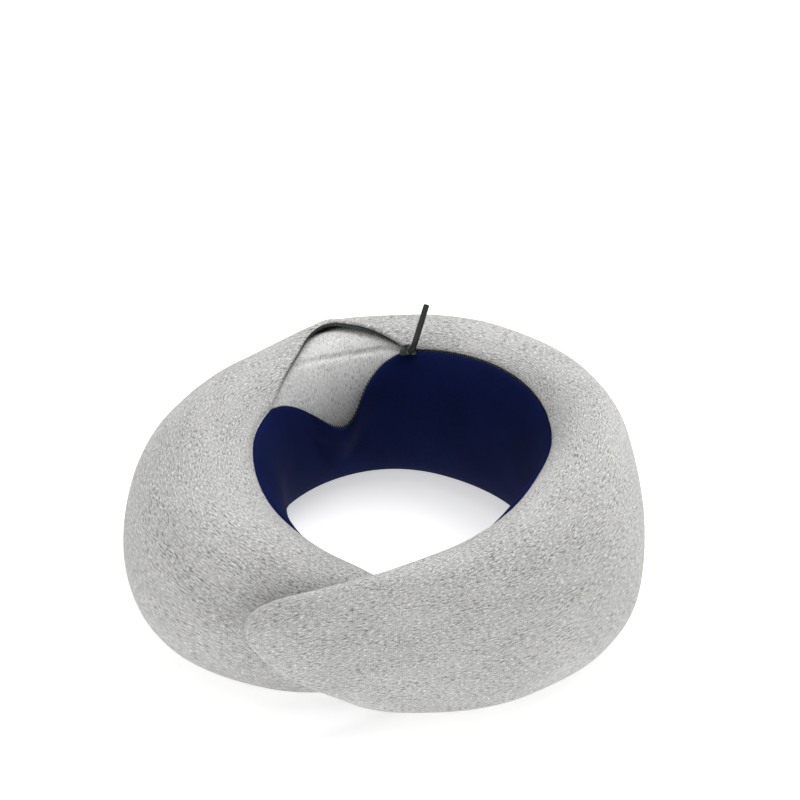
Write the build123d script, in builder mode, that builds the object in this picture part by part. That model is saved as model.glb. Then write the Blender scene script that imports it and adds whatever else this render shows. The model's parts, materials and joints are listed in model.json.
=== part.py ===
"""Wrap-around neck pillow: a foam ring in a zipped two-colour jersey cover.

The ring lies flat on its base with +Z up. Angles run anticlockwise seen from above, from
0 at the wearer's tall side (+X), over 90 at the back (+Y), to the two arms, which overlap
at the front (-Y). The outer arm swings outward at a flex line to let the neck in. All
sizes are in millimetres and degrees.
"""
from build123d import *
import os
from math import asin, atan2, cos, copysign, degrees, hypot, radians, sin

# ---- overall sizes -------------------------------------------------------------------
OVERALL_WIDTH = 272.0       # across X, over the two side bulges
OVERALL_HEIGHT = 115.0      # tallest point, on the right side
TABLE_WIDTH = 272.0         # the width that the station table below was drawn at
TABLE_HEIGHT = 115.0        # the height that the station table below was drawn at

RING_CENTRE = (8.7, -9.1)   # the ring's own centre, from the middle of the whole pillow

# ---- ring sections ------------------------------------------------------------------------
# angle, outer radius, thickness, top, base lift, height of the neck seam as a share of the
# section's upper half. Along the zip, the zip's circle sets the thickness and the seam.
STATIONS = [
    (-128, 130, 13, 84, 50, 0.60),
    (-119, 126, 17, 90, 39, 0.50),
    (-109, 120, 20, 98, 27, 0.50),
    (-97, 113, 25, 102, 12, 0.55),
    (-80, 111, 38, 103, 4, 0.68),
    (-55, 119, 58, 104, 0, 0.80),
    (-25, 131, 74, 108, 0, 0.82),
    (5, 126, None, 113, 0, None),
    (35, 130, None, 105, 0, None),
    (65, 134, None, 98, 0, None),
    (95, 131, None, 95, 0, None),
    (120, 132, None, 92, 0, None),
    (141, 137, None, 92, 0, None),
    (175, 144, 84, 97, 0, 0.80),
    (205, 142, 85, 95, 0, 0.74),
    (230, 117, 61, 86, 0, 0.66),
    (252, 93, 40, 73, 0, 0.68),
    (274, 75, 21, 54, 0, 0.74),
    (292, 64, 12, 36, 0, 0.80),
]
SQUARENESS = 2.3            # exponent of the superellipse section
EGG = 0.10                  # how much narrower the section is at its top
FLOOR_SINK = 3.0            # how far the section's curve is pressed flat at its base
TIP_SINK = 0.6              # the same where the arm's tip is lifted clear of the base
LIFT_FULL = 20.0            # base lift past which only TIP_SINK is pressed flat
NOSE_HEIGHT = 24.0          # length over which an arm's end rounds in height
NOSE_WIDTH = 10.0           # length over which it rounds in thickness

# ---- cover seam and zip --------------------------------------------------------------
SEAM_RADIUS = 78.0          # the zip lies on a circle of this radius
SEAM_CENTRE_Y = 10.5
SEAM_HEIGHT = 88.0          # height of that circle's centre
SEAM_TILT = 6.0             # how far the circle rises towards the tall side
ZIP_RIGHT = 8.0             # plan angle of the zip's bottom stop
ZIP_LEFT = 144.0            # plan angle of the zip's top stops
SLIDER_ANGLE = 87.0         # plan angle where the slider stands, with the zip open past it
MOUTH_RAISE = 25.0          # how far the top edge is folded back at the mouth's widest
MOUTH_DROP = 30.0           # how far the neck panel's edge sags there
MOUTH_SKEW = 0.85           # below 1 moves the widest place towards the slider

# ---- layers, measured inward from the cover's outside ----------------------------------
COVER_THICKNESS = 1.2
TAPE_THICKNESS = 0.5
COIL_THICKNESS = 1.0
LINER_THICKNESS = 0.8
LAYER_GAP = 0.35            # clearance between one layer and the next
PANEL_GAP = 0.3             # clearance between two panels that meet at a seam
FOAM_GAP = 0.9              # clearance between the liner and the foam
BASE_TRIM = 0.3             # stock cut off to leave the base truly flat
LINER_SEAM = 116.0          # section angle where the liner's two panels meet

# ---- zip parts -------------------------------------------------------------------------
SLIT_WIDTH = 2.2            # between the two panels' edges along the zip
TAPE_WIDTH = 10.0
COIL_WIDTH = 1.1            # of each half
COIL_GAP = 0.2              # between the two halves
STOP_LENGTH = 3.0
STOP_GAP = 0.2
SLIDER_LENGTH = 9.0
SLIDER_WIDTH = 5.4
SLIDER_PLATE = 1.2
SLIDER_LEAN = 45.0          # tilt of the slider's plate from upright, facing the neck
SLIDER_CLEARANCE = 1.8      # from the seam to the plate's underside
KEEL_LENGTH = 4.0
KEEL_THICKNESS = 0.6
KEEL_DEPTH = 0.8            # below the seam
EAR_THICKNESS = 0.7
EAR_HEIGHT = 3.2
EAR_LENGTH = 2.6
PIN_RADIUS = 0.5
PIN_CLEARANCE = 0.2         # round the pin and beside the ears
EYE_WALL = 0.7
PULL_LENGTH = 7.0
PULL_WIDTH = 2.0
PULL_THICKNESS = 1.0
PULL_LEAN = 20.0            # how far the pull leans along the zip at rest
CORD_RADIUS = 1.6           # the soft tab moulded on the pull's end
CORD_OVERLAP = 3.0          # length of pull inside it
CORD_STRAIGHT = 3.0
CORD_LENGTH = 20.0
CORD_BEND_RADIUS = 4.0
CORD_RISE = 45.0            # elevation of the tab's free end, laid back over the pillow
CORD_SWAY = 17.0            # how far it leans towards the tall side
CORD_CLEARANCE = 0.1
EDGE_ROUND = 0.4

# ---- flex line and fastening patches ---------------------------------------------------
FLEX_ANGLE = -15.0          # plan angle where the outer arm begins
FLEX_GAP = 0.1              # half of the cut there, as an angle
HINGE_OFFSET = 0.5          # from the outer surface out to the flex axis
PATCH_THICKNESS = 0.9
PATCH_LIFT = 0.2            # from the cover to the patch
HOOK_SPAN = (-119.0, -101.0)   # plan angles of the hook patch, on the outer arm
LOOP_SPAN = (242.0, 260.0)     # plan angles of the loop patch, on the inner arm
PATCH_HALF_HEIGHT = 12.0
HOOK_TURN = 180.0           # section angle of the hook patch's middle
LOOP_TURN = 22.0            # section angle of the loop patch's middle

# ---- how finely the lofts follow the table ---------------------------------------------
CURVE_POINTS = 13           # on the long curve of a section
BAND_POINTS = 7             # on a short strip
LOFT_STEP = 10.0            # plan angle between lofted sections
MOUTH_STEP = 6.0            # the same round the open mouth
NOSE_STEPS = (1.0, 2.8, 4.6, 6.5, 9.0, 12.5, 19.0)   # sections from an arm's end
NOSE_STEP_LEAST = 1.2       # sections closer than this at an arm's end are left out
COVER_NOSE = 1.0            # where the cover's panels stop and its end cap begins
LINER_NOSE = 4.6
FOAM_NOSE = 6.5
CAP_GAP = 0.05              # between the panels and the end cap
CAP_LENGTH = 0.7

# ---- values that follow from the sizes -------------------------------------------------
LINER_DEPTH = COVER_THICKNESS + COIL_THICKNESS + 2 * LAYER_GAP
FOAM_DEPTH = LINER_DEPTH + LINER_THICKNESS + FOAM_GAP
TAPE_DEPTH = COVER_THICKNESS + LAYER_GAP
WIDTH_SCALE = OVERALL_WIDTH / TABLE_WIDTH
HEIGHT_SCALE = OVERALL_HEIGHT / TABLE_HEIGHT
ring_centre = Vector(RING_CENTRE[0] * WIDTH_SCALE, RING_CENTRE[1] * WIDTH_SCALE, 0)
FIRST, LAST = STATIONS[0][0], STATIONS[-1][0]
ARM_END = FLEX_ANGLE - FLEX_GAP
ROOT_START = FLEX_ANGLE + FLEX_GAP
SLIT = SLIT_WIDTH / 2
COIL_SPAN = (COIL_GAP / 2, COIL_GAP / 2 + COIL_WIDTH)
TAPE_SPAN = (COIL_SPAN[1] + COIL_GAP, COIL_SPAN[1] + COIL_GAP + TAPE_WIDTH)


def zip_circle(turn):
    """Point on the zip's tilted circle, at an angle measured round that circle.

    It is measured from the ring's own centre."""
    tilt = radians(SEAM_TILT)
    along = SEAM_RADIUS * WIDTH_SCALE * cos(radians(turn))
    across = SEAM_RADIUS * WIDTH_SCALE * sin(radians(turn))
    return Vector(
        along * cos(tilt),
        SEAM_CENTRE_Y * WIDTH_SCALE + across,
        SEAM_HEIGHT * HEIGHT_SCALE + along * sin(tilt),
    )


def zip_turn(angle):
    """Angle round the zip's circle of the point that stands at this plan angle."""
    tilt, plan = radians(SEAM_TILT), radians(angle)
    lead = atan2(cos(tilt) * sin(plan), cos(plan))
    size = SEAM_RADIUS * hypot(cos(plan), cos(tilt) * sin(plan))
    return degrees(lead + asin(-SEAM_CENTRE_Y * cos(plan) / size))


def half_width(outer_radius, top, base, sink, seam):
    """Half thickness and seam share of a section that passes through the seam point."""
    half_height = (top - base + sink) / 2
    share = (seam.Z - (top - half_height)) / half_height
    bulge = (1 - abs(share) ** SQUARENESS) ** (1 / SQUARENESS) * (1 - EGG * share)
    return (outer_radius - hypot(seam.X, seam.Y)) / (1 + bulge), share


def table_value(angle, column):
    """Value of one column of the station table at any angle, on a smooth curve."""
    rows = [row for row in SECTION_ROWS if row[column] is not None]
    angles = [row[0] for row in rows]
    values = [row[column] for row in rows]
    last = len(rows) - 2
    i = max(0, min(last, sum(1 for a in angles if a <= angle) - 1))

    def slope(k):
        low, high = max(k - 1, 0), min(k + 1, last + 1)
        return (values[high] - values[low]) / (angles[high] - angles[low])

    span = angles[i + 1] - angles[i]
    s = (angle - angles[i]) / span
    return (
        (2 * s**3 - 3 * s**2 + 1) * values[i]
        + (s**3 - 2 * s**2 + s) * span * slope(i)
        + (3 * s**2 - 2 * s**3) * values[i + 1]
        + (s**3 - s**2) * span * slope(i + 1)
    )


def on_zip(angle):
    return ZIP_TABLE_SPAN[0] <= angle <= ZIP_TABLE_SPAN[1]


def section_row(row):
    """One station scaled to the overall sizes, with the zip's stations filled in."""
    angle, radius, thick, top, base, share = row
    radius, top, base = radius * WIDTH_SCALE, top * HEIGHT_SCALE, base * HEIGHT_SCALE
    if thick is None:
        half, share = half_width(radius, top, base, FLOOR_SINK, zip_circle(zip_turn(angle)))
    else:
        half = thick * WIDTH_SCALE / 2
    return angle, radius, half, top, base, share


zip_stations = [row[0] for row in STATIONS if row[2] is None]
ZIP_TABLE_SPAN = (zip_stations[0], zip_stations[-1])
SECTION_ROWS = [section_row(row) for row in STATIONS]


class Section:
    """The ring's cross-section on the upright plane at one plan angle."""

    def __init__(self, angle):
        self.angle = angle
        self.outer, top = table_value(angle, 1), table_value(angle, 3)
        self.floor = max(table_value(angle, 4), 0.0)
        lifted = min(self.floor / LIFT_FULL, 1.0)
        sink = FLOOR_SINK + (TIP_SINK - FLOOR_SINK) * lifted
        if on_zip(angle):
            seam = zip_circle(zip_turn(angle))
            self.half, self.share = half_width(self.outer, top, self.floor, sink, seam)
        else:
            self.half, self.share = table_value(angle, 2), table_value(angle, 5)
        self.rise = (top - self.floor + sink) / 2
        self.middle_z = top - self.rise
        self.middle_r = self.outer - self.half
        nose = self.nose_distance()
        self.half *= rounding(nose / NOSE_WIDTH)
        squeeze = rounding(nose / NOSE_HEIGHT)
        self.floor = self.middle_z - (self.middle_z - self.floor) * squeeze
        self.rise *= squeeze
        self.plane = Plane(
            origin=ring_centre,
            x_dir=(cos(radians(angle)), sin(radians(angle)), 0),
            z_dir=(sin(radians(angle)), -cos(radians(angle)), 0),
        )

    def nose_distance(self):
        """Distance along the ring to the nearer arm's end."""
        return self.outer * radians(min(self.angle - FIRST, LAST - self.angle))

    def point(self, turn, depth):
        """Radius and height at a section angle: 0 faces out, 90 up and 180 the neck."""
        c, s = cos(radians(turn)), sin(radians(turn))
        wide = copysign(abs(c) ** (2 / SQUARENESS), c)
        high = copysign(abs(s) ** (2 / SQUARENESS), s)
        radius = self.middle_r + (self.half - depth) * wide * (1 - EGG * high)
        return radius, self.middle_z + (self.rise - depth) * high

    def base_height(self, depth):
        """Height of the flat underside of the layer that starts at this depth."""
        on_floor = depth == 0 and self.floor < BASE_TRIM
        return self.floor - BASE_TRIM if on_floor else self.floor + depth

    def base_turn(self, depth):
        """Section angle, below 0, where the curve meets the flat underside."""
        high = (self.base_height(depth) - self.middle_z) / (self.rise - depth)
        return -degrees(asin(min(abs(high), 1.0) ** (SQUARENESS / 2)))

    def seam_turn(self):
        """Section angle of the seam between the outer cover and the neck panel."""
        return 180 - degrees(asin(self.share ** (SQUARENESS / 2)))

    def along(self, turn, distance, depth=0.0):
        """Section angle reached by going a distance along the curve from another."""
        step = copysign(0.5, distance)
        left, here = abs(distance), self.point(turn, depth)
        while True:
            there = self.point(turn + step, depth)
            length = hypot(there[0] - here[0], there[1] - here[1])
            if length >= left:
                return turn + step * left / length
            turn, left, here = turn + step, left - length, there


def rounding(share):
    """Quarter-round from 0 at share 0 to 1 at share 1 and past it."""
    return (1 - (1 - min(share, 1.0)) ** 2) ** 0.5


def mouth(angle):
    """How far open the mouth is at a plan angle, from 0 to 1."""
    share = (angle - SLIDER_ANGLE) / (ZIP_LEFT - SLIDER_ANGLE)
    if not 0 < share < 1:
        return 0.0
    return sin(radians(180 * share**MOUTH_SKEW)) ** 1.5


def top_edge(section, offset=0.0):
    """Section angle a distance outward from the middle of the zip's upper half."""
    raised = MOUTH_RAISE * mouth(section.angle)
    return section.along(section.seam_turn(), -(raised + offset) or -1e-9)


def neck_edge(section, offset=0.0):
    """Section angle a distance towards the neck from the zip's lower half."""
    dropped = MOUTH_DROP * mouth(section.angle)
    return section.along(section.seam_turn(), dropped + offset or 1e-9)


def arc(section, first, last, depth, count):
    """Smooth edge along one layer's curve, through points spread evenly in angle.

    Every section's edge has the same even parameters, which keeps the lofts light."""
    shares = [i / (count - 1) for i in range(count)]
    points = [section.point(first + (last - first) * share, depth) for share in shares]
    return add(Edge.make_spline(points, parameters=shares)).edge()


def closed_profile(section, depth):
    """Full section of everything inside this depth, with its flat underside."""
    low = section.base_turn(depth)
    with BuildSketch(section.plane) as profile:
        with BuildLine():
            curve = arc(section, low, 180 - low, depth, CURVE_POINTS)
            Line(curve @ 1, curve @ 0)
        make_face()
    return profile.sketch


def band_profile(section, first, last, depth, thickness):
    """Strip of one layer between two section angles."""
    with BuildSketch(section.plane) as profile:
        with BuildLine():
            outside = arc(section, first, last, depth, BAND_POINTS)
            inside = arc(section, last, first, depth + thickness, BAND_POINTS)
            Line(outside @ 1, inside @ 0)
            Line(inside @ 1, outside @ 0)
        make_face()
    return profile.sketch


def based_profile(section, last, depth, thickness):
    """Layer that runs from the neck side's bottom corner, over the flat underside and
    round the outside, to a section angle."""
    low_out, low_in = section.base_turn(depth), section.base_turn(depth + thickness)
    with BuildSketch(section.plane) as profile:
        with BuildLine():
            outside = arc(section, low_out, last, depth, CURVE_POINTS)
            inside = arc(section, last, low_in, depth + thickness, CURVE_POINTS)
            corner_in = section.point(180 - low_in, depth + thickness)
            corner_out = section.point(180 - low_out, depth)
            Line(outside @ 1, inside @ 0)
            Line(inside @ 1, corner_in)
            Line(corner_in, corner_out)
            Line(corner_out, outside @ 0)
        make_face()
    return profile.sketch


def underlaid_profile(section, first, depth, thickness):
    """Layer that runs from a section angle down the neck side and under the base to the
    outer bottom corner."""
    low_out, low_in = section.base_turn(depth), section.base_turn(depth + thickness)
    with BuildSketch(section.plane) as profile:
        with BuildLine():
            outside = arc(section, first, 180 - low_out, depth, BAND_POINTS)
            inside = arc(section, 180 - low_in, first, depth + thickness, BAND_POINTS)
            corner_in = section.point(low_in, depth + thickness)
            corner_out = section.point(low_out, depth)
            Line(outside @ 1, corner_out)
            Line(corner_out, corner_in)
            Line(corner_in, inside @ 0)
            Line(inside @ 1, outside @ 0)
        make_face()
    return profile.sketch


def sections_between(first, last, nose_first=None, nose_last=None):
    """Sections for a loft, from one plan angle to another.

    A nose is given as the distance from that arm's end at which the piece stops."""
    reach = NOSE_STEPS[-1] + NOSE_STEP_LEAST
    angles = [a for a in LOFT_ANGLES if first + 1 < a < last - 1]
    if nose_first is None:
        angles = [first] + angles
    else:
        clear = FIRST + degrees(reach / table_value(FIRST, 1))
        angles = nose_angles(FIRST, 1, nose_first) + [a for a in angles if a > clear]
    if nose_last is None:
        angles = angles + [last]
    else:
        clear = LAST - degrees(reach / table_value(LAST, 1))
        angles = [a for a in angles if a < clear] + nose_angles(LAST, -1, nose_last)[::-1]
    return [Section(a) for a in angles]


def nose_angles(end, way, start):
    """Plan angles of the sections that round off one arm's end."""
    radius = table_value(end, 1)
    steps = [start] + [d for d in NOSE_STEPS if d > start + NOSE_STEP_LEAST]
    return [end + way * degrees(d / radius) for d in steps]


def loft_angles():
    """Plan angles of the lofted sections, closer together round the open mouth."""
    mouth_count = round((ZIP_LEFT - SLIDER_ANGLE) / MOUTH_STEP) + 1
    fine = [SLIDER_ANGLE + MOUTH_STEP * i for i in range(mouth_count)]
    count = round((LAST - FIRST) / LOFT_STEP)
    coarse = [FIRST + (LAST - FIRST) * i / count for i in range(1, count)]
    kept = [a for a in coarse if a < fine[0] - 3 or a > fine[-1] + 3]
    return sorted(kept + fine)


LOFT_ANGLES = loft_angles()


def write(part, label):
    """Label one finished piece and write it to its own file."""
    part.label = label
    export_step(part, f"parts/{label}.step")


def cap(section, depth, way):
    """The two profiles of a plug that closes a layer at an arm's end."""
    distances = (CAP_GAP, CAP_LENGTH)
    angles = [section.angle - way * degrees(d / section.outer) for d in distances]
    return [closed_profile(Section(angle), depth) for angle in angles]


def panel_gap(section):
    """Half of the gap between cover and neck panel: a slit along the zip, or a seam."""
    on_slit = ZIP_RIGHT - 2 < section.angle < ZIP_LEFT + 2
    return SLIT if on_slit else PANEL_GAP / 2


def cover_profile(section):
    """Outer cover, up to the seam or the zip."""
    return based_profile(section, top_edge(section, panel_gap(section)), 0, COVER_THICKNESS)


def neck_profile(section):
    """Neck panel, from the zip or seam down to the cover's underside."""
    corner = 180 - section.base_turn(COVER_THICKNESS)
    low = section.along(corner, -PANEL_GAP, COVER_THICKNESS)
    return band_profile(
        section, neck_edge(section, panel_gap(section)), low, 0, COVER_THICKNESS
    )


def liner_outer_profile(section):
    """Liner panel over the outside and the top of the foam."""
    corner = section.base_turn(LINER_DEPTH + LINER_THICKNESS)
    low = section.along(corner, PANEL_GAP, LINER_DEPTH)
    high = section.along(LINER_SEAM, -PANEL_GAP / 2, LINER_DEPTH)
    return band_profile(section, low, high, LINER_DEPTH, LINER_THICKNESS)


def liner_inner_profile(section):
    """Liner panel down the neck side and under the foam."""
    high = section.along(LINER_SEAM, PANEL_GAP / 2, LINER_DEPTH)
    return underlaid_profile(section, high, LINER_DEPTH, LINER_THICKNESS)


def top_strip(section, near, far, depth, thickness):
    """Strip beside the zip's middle, on the cover's side."""
    return band_profile(
        section, top_edge(section, far), top_edge(section, near), depth, thickness
    )


def neck_strip(section, near, far, depth, thickness):
    """Strip beside the zip's middle, on the neck panel's side."""
    return band_profile(
        section, neck_edge(section, near), neck_edge(section, far), depth, thickness
    )


def zip_degrees(length):
    """Plan angle that a length takes up along the zip."""
    return degrees(length / (SEAM_RADIUS * WIDTH_SCALE))


os.makedirs("parts", exist_ok=True)

# ---- foam core, in two lengths that meet at the flex line --------------------------------
with BuildPart() as foam_core:
    sections = sections_between(ROOT_START, LAST, nose_last=FOAM_NOSE)
    loft([closed_profile(section, FOAM_DEPTH) for section in sections])
write(foam_core.part, "foam_core")

with BuildPart() as foam_core_arm:
    sections = sections_between(FIRST, ARM_END, nose_first=FOAM_NOSE)
    loft([closed_profile(section, FOAM_DEPTH) for section in sections])
write(foam_core_arm.part, "foam_core_arm")

# ---- liner round the foam ----------------------------------------------------------------
root_liner = sections_between(ROOT_START, LAST, nose_last=LINER_NOSE)
arm_liner = sections_between(FIRST, ARM_END, nose_first=LINER_NOSE)

with BuildPart() as liner_outer:
    loft([liner_outer_profile(section) for section in root_liner])
write(liner_outer.part, "liner_outer")

with BuildPart() as liner_inner:
    loft([liner_inner_profile(section) for section in root_liner])
write(liner_inner.part, "liner_inner")

with BuildPart() as liner_outer_arm:
    loft([liner_outer_profile(section) for section in arm_liner])
write(liner_outer_arm.part, "liner_outer_arm")

with BuildPart() as liner_inner_arm:
    loft([liner_inner_profile(section) for section in arm_liner])
write(liner_inner_arm.part, "liner_inner_arm")

# ---- outer cover and neck panel ----------------------------------------------------------
root_cover = sections_between(ROOT_START, LAST, nose_last=COVER_NOSE)
arm_cover = sections_between(FIRST, ARM_END, nose_first=COVER_NOSE)

with BuildPart() as cover_shell:
    loft([cover_profile(section) for section in root_cover])
    loft(cap(root_cover[-1], 0, -1))
    split(bisect_by=Plane.XY, keep=Keep.TOP)
write(cover_shell.part, "cover_shell")

with BuildPart() as cover_shell_arm:
    loft([cover_profile(section) for section in arm_cover])
    loft(cap(arm_cover[0], 0, 1))
    split(bisect_by=Plane.XY, keep=Keep.TOP)
write(cover_shell_arm.part, "cover_shell_arm")

with BuildPart() as neck_panel:
    loft([neck_profile(section) for section in root_cover])
write(neck_panel.part, "neck_panel")

with BuildPart() as neck_panel_arm:
    loft([neck_profile(section) for section in arm_cover])
write(neck_panel_arm.part, "neck_panel_arm")

# ---- zip: tapes, coils and stops ---------------------------------------------------------
tape_margin = zip_degrees(STOP_LENGTH + 2 * STOP_GAP)
tape_sections = sections_between(ZIP_RIGHT - tape_margin, ZIP_LEFT + tape_margin)
coil_sections = sections_between(ZIP_RIGHT, ZIP_LEFT)
stop_start, stop_end = zip_degrees(STOP_GAP), zip_degrees(STOP_GAP + STOP_LENGTH)

with BuildPart() as zip_tape_upper:
    loft([top_strip(s, *TAPE_SPAN, TAPE_DEPTH, TAPE_THICKNESS) for s in tape_sections])
write(zip_tape_upper.part, "zip_tape_upper")

with BuildPart() as zip_tape_lower:
    loft([neck_strip(s, *TAPE_SPAN, TAPE_DEPTH, TAPE_THICKNESS) for s in tape_sections])
write(zip_tape_lower.part, "zip_tape_lower")

with BuildPart() as zip_coil_upper:
    loft([top_strip(s, *COIL_SPAN, TAPE_DEPTH, COIL_THICKNESS) for s in coil_sections])
write(zip_coil_upper.part, "zip_coil_upper")

with BuildPart() as zip_coil_lower:
    loft([neck_strip(s, *COIL_SPAN, TAPE_DEPTH, COIL_THICKNESS) for s in coil_sections])
write(zip_coil_lower.part, "zip_coil_lower")

with BuildPart() as zip_top_stops:
    ends = [Section(ZIP_LEFT + stop_start), Section(ZIP_LEFT + stop_end)]
    loft([top_strip(s, *COIL_SPAN, TAPE_DEPTH, COIL_THICKNESS) for s in ends])
    loft([neck_strip(s, *COIL_SPAN, TAPE_DEPTH, COIL_THICKNESS) for s in ends])
write(zip_top_stops.part, "zip_top_stops")

with BuildPart() as zip_bottom_stop:
    ends = [Section(ZIP_RIGHT - stop_end), Section(ZIP_RIGHT - stop_start)]
    loft(
        [
            band_profile(
                s,
                top_edge(s, COIL_SPAN[1]),
                neck_edge(s, COIL_SPAN[1]),
                TAPE_DEPTH,
                COIL_THICKNESS,
            )
            for s in ends
        ]
    )
write(zip_bottom_stop.part, "zip_bottom_stop")

# ---- slider, pull and tab ----------------------------------------------------------------
zip_axis = Vector(-sin(radians(SEAM_TILT)), 0, cos(radians(SEAM_TILT)))
zip_centre = ring_centre + (zip_circle(0) + zip_circle(180)) * 0.5
seam_point = ring_centre + zip_circle(zip_turn(SLIDER_ANGLE))
outward = (seam_point - zip_centre).normalized()
travel = zip_axis.cross(outward)
lift = outward * -cos(radians(SLIDER_LEAN)) + zip_axis * sin(radians(SLIDER_LEAN))
slider_plane = Plane(origin=seam_point, x_dir=travel, z_dir=lift)
plate_top = SLIDER_CLEARANCE + SLIDER_PLATE
pin_height = plate_top + EAR_HEIGHT - EAR_LENGTH / 2
ear_centre = (SLIDER_WIDTH - EAR_THICKNESS) / 2
eye_width = SLIDER_WIDTH - 2 * (EAR_THICKNESS + PIN_CLEARANCE)
eye_hole = PIN_RADIUS + PIN_CLEARANCE

with BuildPart(slider_plane) as zip_slider:
    with Locations((0, 0, SLIDER_CLEARANCE + SLIDER_PLATE / 2)):
        Box(SLIDER_LENGTH, SLIDER_WIDTH, SLIDER_PLATE)
    upright = Axis(slider_plane.origin, slider_plane.z_dir)
    fillet(zip_slider.edges().filter_by(upright), 3 * EDGE_ROUND)
    with Locations((0, 0, (SLIDER_CLEARANCE - KEEL_DEPTH) / 2)):
        Box(KEEL_LENGTH, KEEL_THICKNESS, SLIDER_CLEARANCE + KEEL_DEPTH)
    with Locations(*[(0, side * ear_centre, plate_top + EAR_HEIGHT / 2) for side in (-1, 1)]):
        Box(EAR_LENGTH, EAR_THICKNESS, EAR_HEIGHT)
    with Locations((0, 0, pin_height)):
        Cylinder(PIN_RADIUS, SLIDER_WIDTH, rotation=(90, 0, 0))
write(zip_slider.part, "zip_slider")

pin_point = slider_plane.from_local_coords((0, 0, pin_height))
pull_way = lift * cos(radians(PULL_LEAN)) - travel * sin(radians(PULL_LEAN))
across = slider_plane.y_dir
pull_plane = Plane(origin=pin_point, x_dir=pull_way, z_dir=pull_way.cross(across))
blade_start = eye_hole + EYE_WALL / 2

with BuildPart(pull_plane) as zip_pull:
    Cylinder(eye_hole + EYE_WALL, eye_width, rotation=(90, 0, 0))
    with Locations(((blade_start + PULL_LENGTH) / 2, 0, 0)):
        Box(PULL_LENGTH - blade_start, PULL_WIDTH, PULL_THICKNESS)
    Cylinder(eye_hole, eye_width, rotation=(90, 0, 0), mode=Mode.SUBTRACT)
write(zip_pull.part, "zip_pull")

rise, sway = radians(CORD_RISE), radians(CORD_SWAY)
cord_way = Vector(sin(sway), cos(sway) * cos(rise), cos(sway) * sin(rise))
cord_start = pin_point + pull_way * (PULL_LENGTH - CORD_OVERLAP)
cord_corner = cord_start + pull_way * (CORD_OVERLAP + CORD_STRAIGHT + CORD_BEND_RADIUS)

with BuildPart() as pull_tab:
    with BuildLine() as cord_path:
        FilletPolyline(
            cord_start,
            cord_corner,
            cord_corner + cord_way * (CORD_LENGTH + CORD_BEND_RADIUS),
            radius=CORD_BEND_RADIUS,
        )
    with BuildSketch(Plane(origin=cord_start, z_dir=pull_way)):
        Circle(CORD_RADIUS)
    sweep(path=cord_path.line)
    chamfer(pull_tab.edges().filter_by(GeomType.CIRCLE).sort_by(Axis.Z)[-1], EDGE_ROUND)
    with BuildSketch(pull_plane.offset(-PULL_THICKNESS / 2 - CORD_CLEARANCE)):
        with Locations((PULL_LENGTH - CORD_OVERLAP / 2, 0)):
            Rectangle(
                CORD_OVERLAP + 2 * CORD_CLEARANCE, PULL_WIDTH + 2 * CORD_CLEARANCE
            )
    extrude(amount=PULL_THICKNESS + 2 * CORD_CLEARANCE, mode=Mode.SUBTRACT)
write(pull_tab.part, "pull_tab")

# ---- hook and loop patches that hold the overlapped arms ----------------------------------
def patch_profile(section, middle):
    """Patch that stands on the cover round the section angle that faces the other arm."""
    depth = -(PATCH_LIFT + PATCH_THICKNESS)
    first = section.along(middle, -PATCH_HALF_HEIGHT)
    last = section.along(middle, PATCH_HALF_HEIGHT)
    return band_profile(section, first, last, depth, PATCH_THICKNESS)


with BuildPart() as hook_patch:
    loft([patch_profile(section, HOOK_TURN) for section in sections_between(*HOOK_SPAN)])
write(hook_patch.part, "hook_patch")

with BuildPart() as loop_patch:
    loft([patch_profile(section, LOOP_TURN) for section in sections_between(*LOOP_SPAN)])
write(loop_patch.part, "loop_patch")
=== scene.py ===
"""Wrap-around neck pillow: its jersey cover, neck panel, liner, foam and zip, in metres."""
import json
import logging
import math
from bisect import bisect_right
from dataclasses import dataclass, field
from enum import Enum
from typing import Callable, Sequence

import bmesh
import bpy
from mathutils import Matrix, Vector, noise


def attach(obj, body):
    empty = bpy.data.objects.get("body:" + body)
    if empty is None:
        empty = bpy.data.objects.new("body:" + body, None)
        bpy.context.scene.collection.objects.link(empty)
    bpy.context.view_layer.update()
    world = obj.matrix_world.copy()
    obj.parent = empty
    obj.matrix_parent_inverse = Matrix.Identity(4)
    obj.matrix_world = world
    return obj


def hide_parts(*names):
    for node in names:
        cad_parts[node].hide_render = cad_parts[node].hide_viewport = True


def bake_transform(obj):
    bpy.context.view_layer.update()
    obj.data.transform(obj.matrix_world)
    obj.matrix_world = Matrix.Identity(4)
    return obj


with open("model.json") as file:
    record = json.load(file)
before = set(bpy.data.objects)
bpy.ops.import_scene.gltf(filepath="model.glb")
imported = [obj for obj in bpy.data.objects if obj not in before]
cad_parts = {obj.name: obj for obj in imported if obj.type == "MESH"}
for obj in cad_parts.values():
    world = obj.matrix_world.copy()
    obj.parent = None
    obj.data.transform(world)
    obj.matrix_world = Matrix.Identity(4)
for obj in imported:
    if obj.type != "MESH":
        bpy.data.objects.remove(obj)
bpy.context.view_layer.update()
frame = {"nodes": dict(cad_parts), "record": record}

log = logging.getLogger("pillow")
MM = 0.001
U_RADIUS = 0.11  # metres of fabric along the ring for each radian

Colour = tuple[float, float, float]
Socket = bpy.types.NodeSocket
Finish = bpy.types.Material
Piece = bpy.types.Object


class Body(Enum):
    """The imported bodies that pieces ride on."""

    PILLOW = "pillow"
    ARM = "outer_arm"


class Side(Enum):
    """Which of a fabric's two lengths a piece is: they meet behind the flex line."""

    ROOT = "root"
    ARM = "arm"


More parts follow.
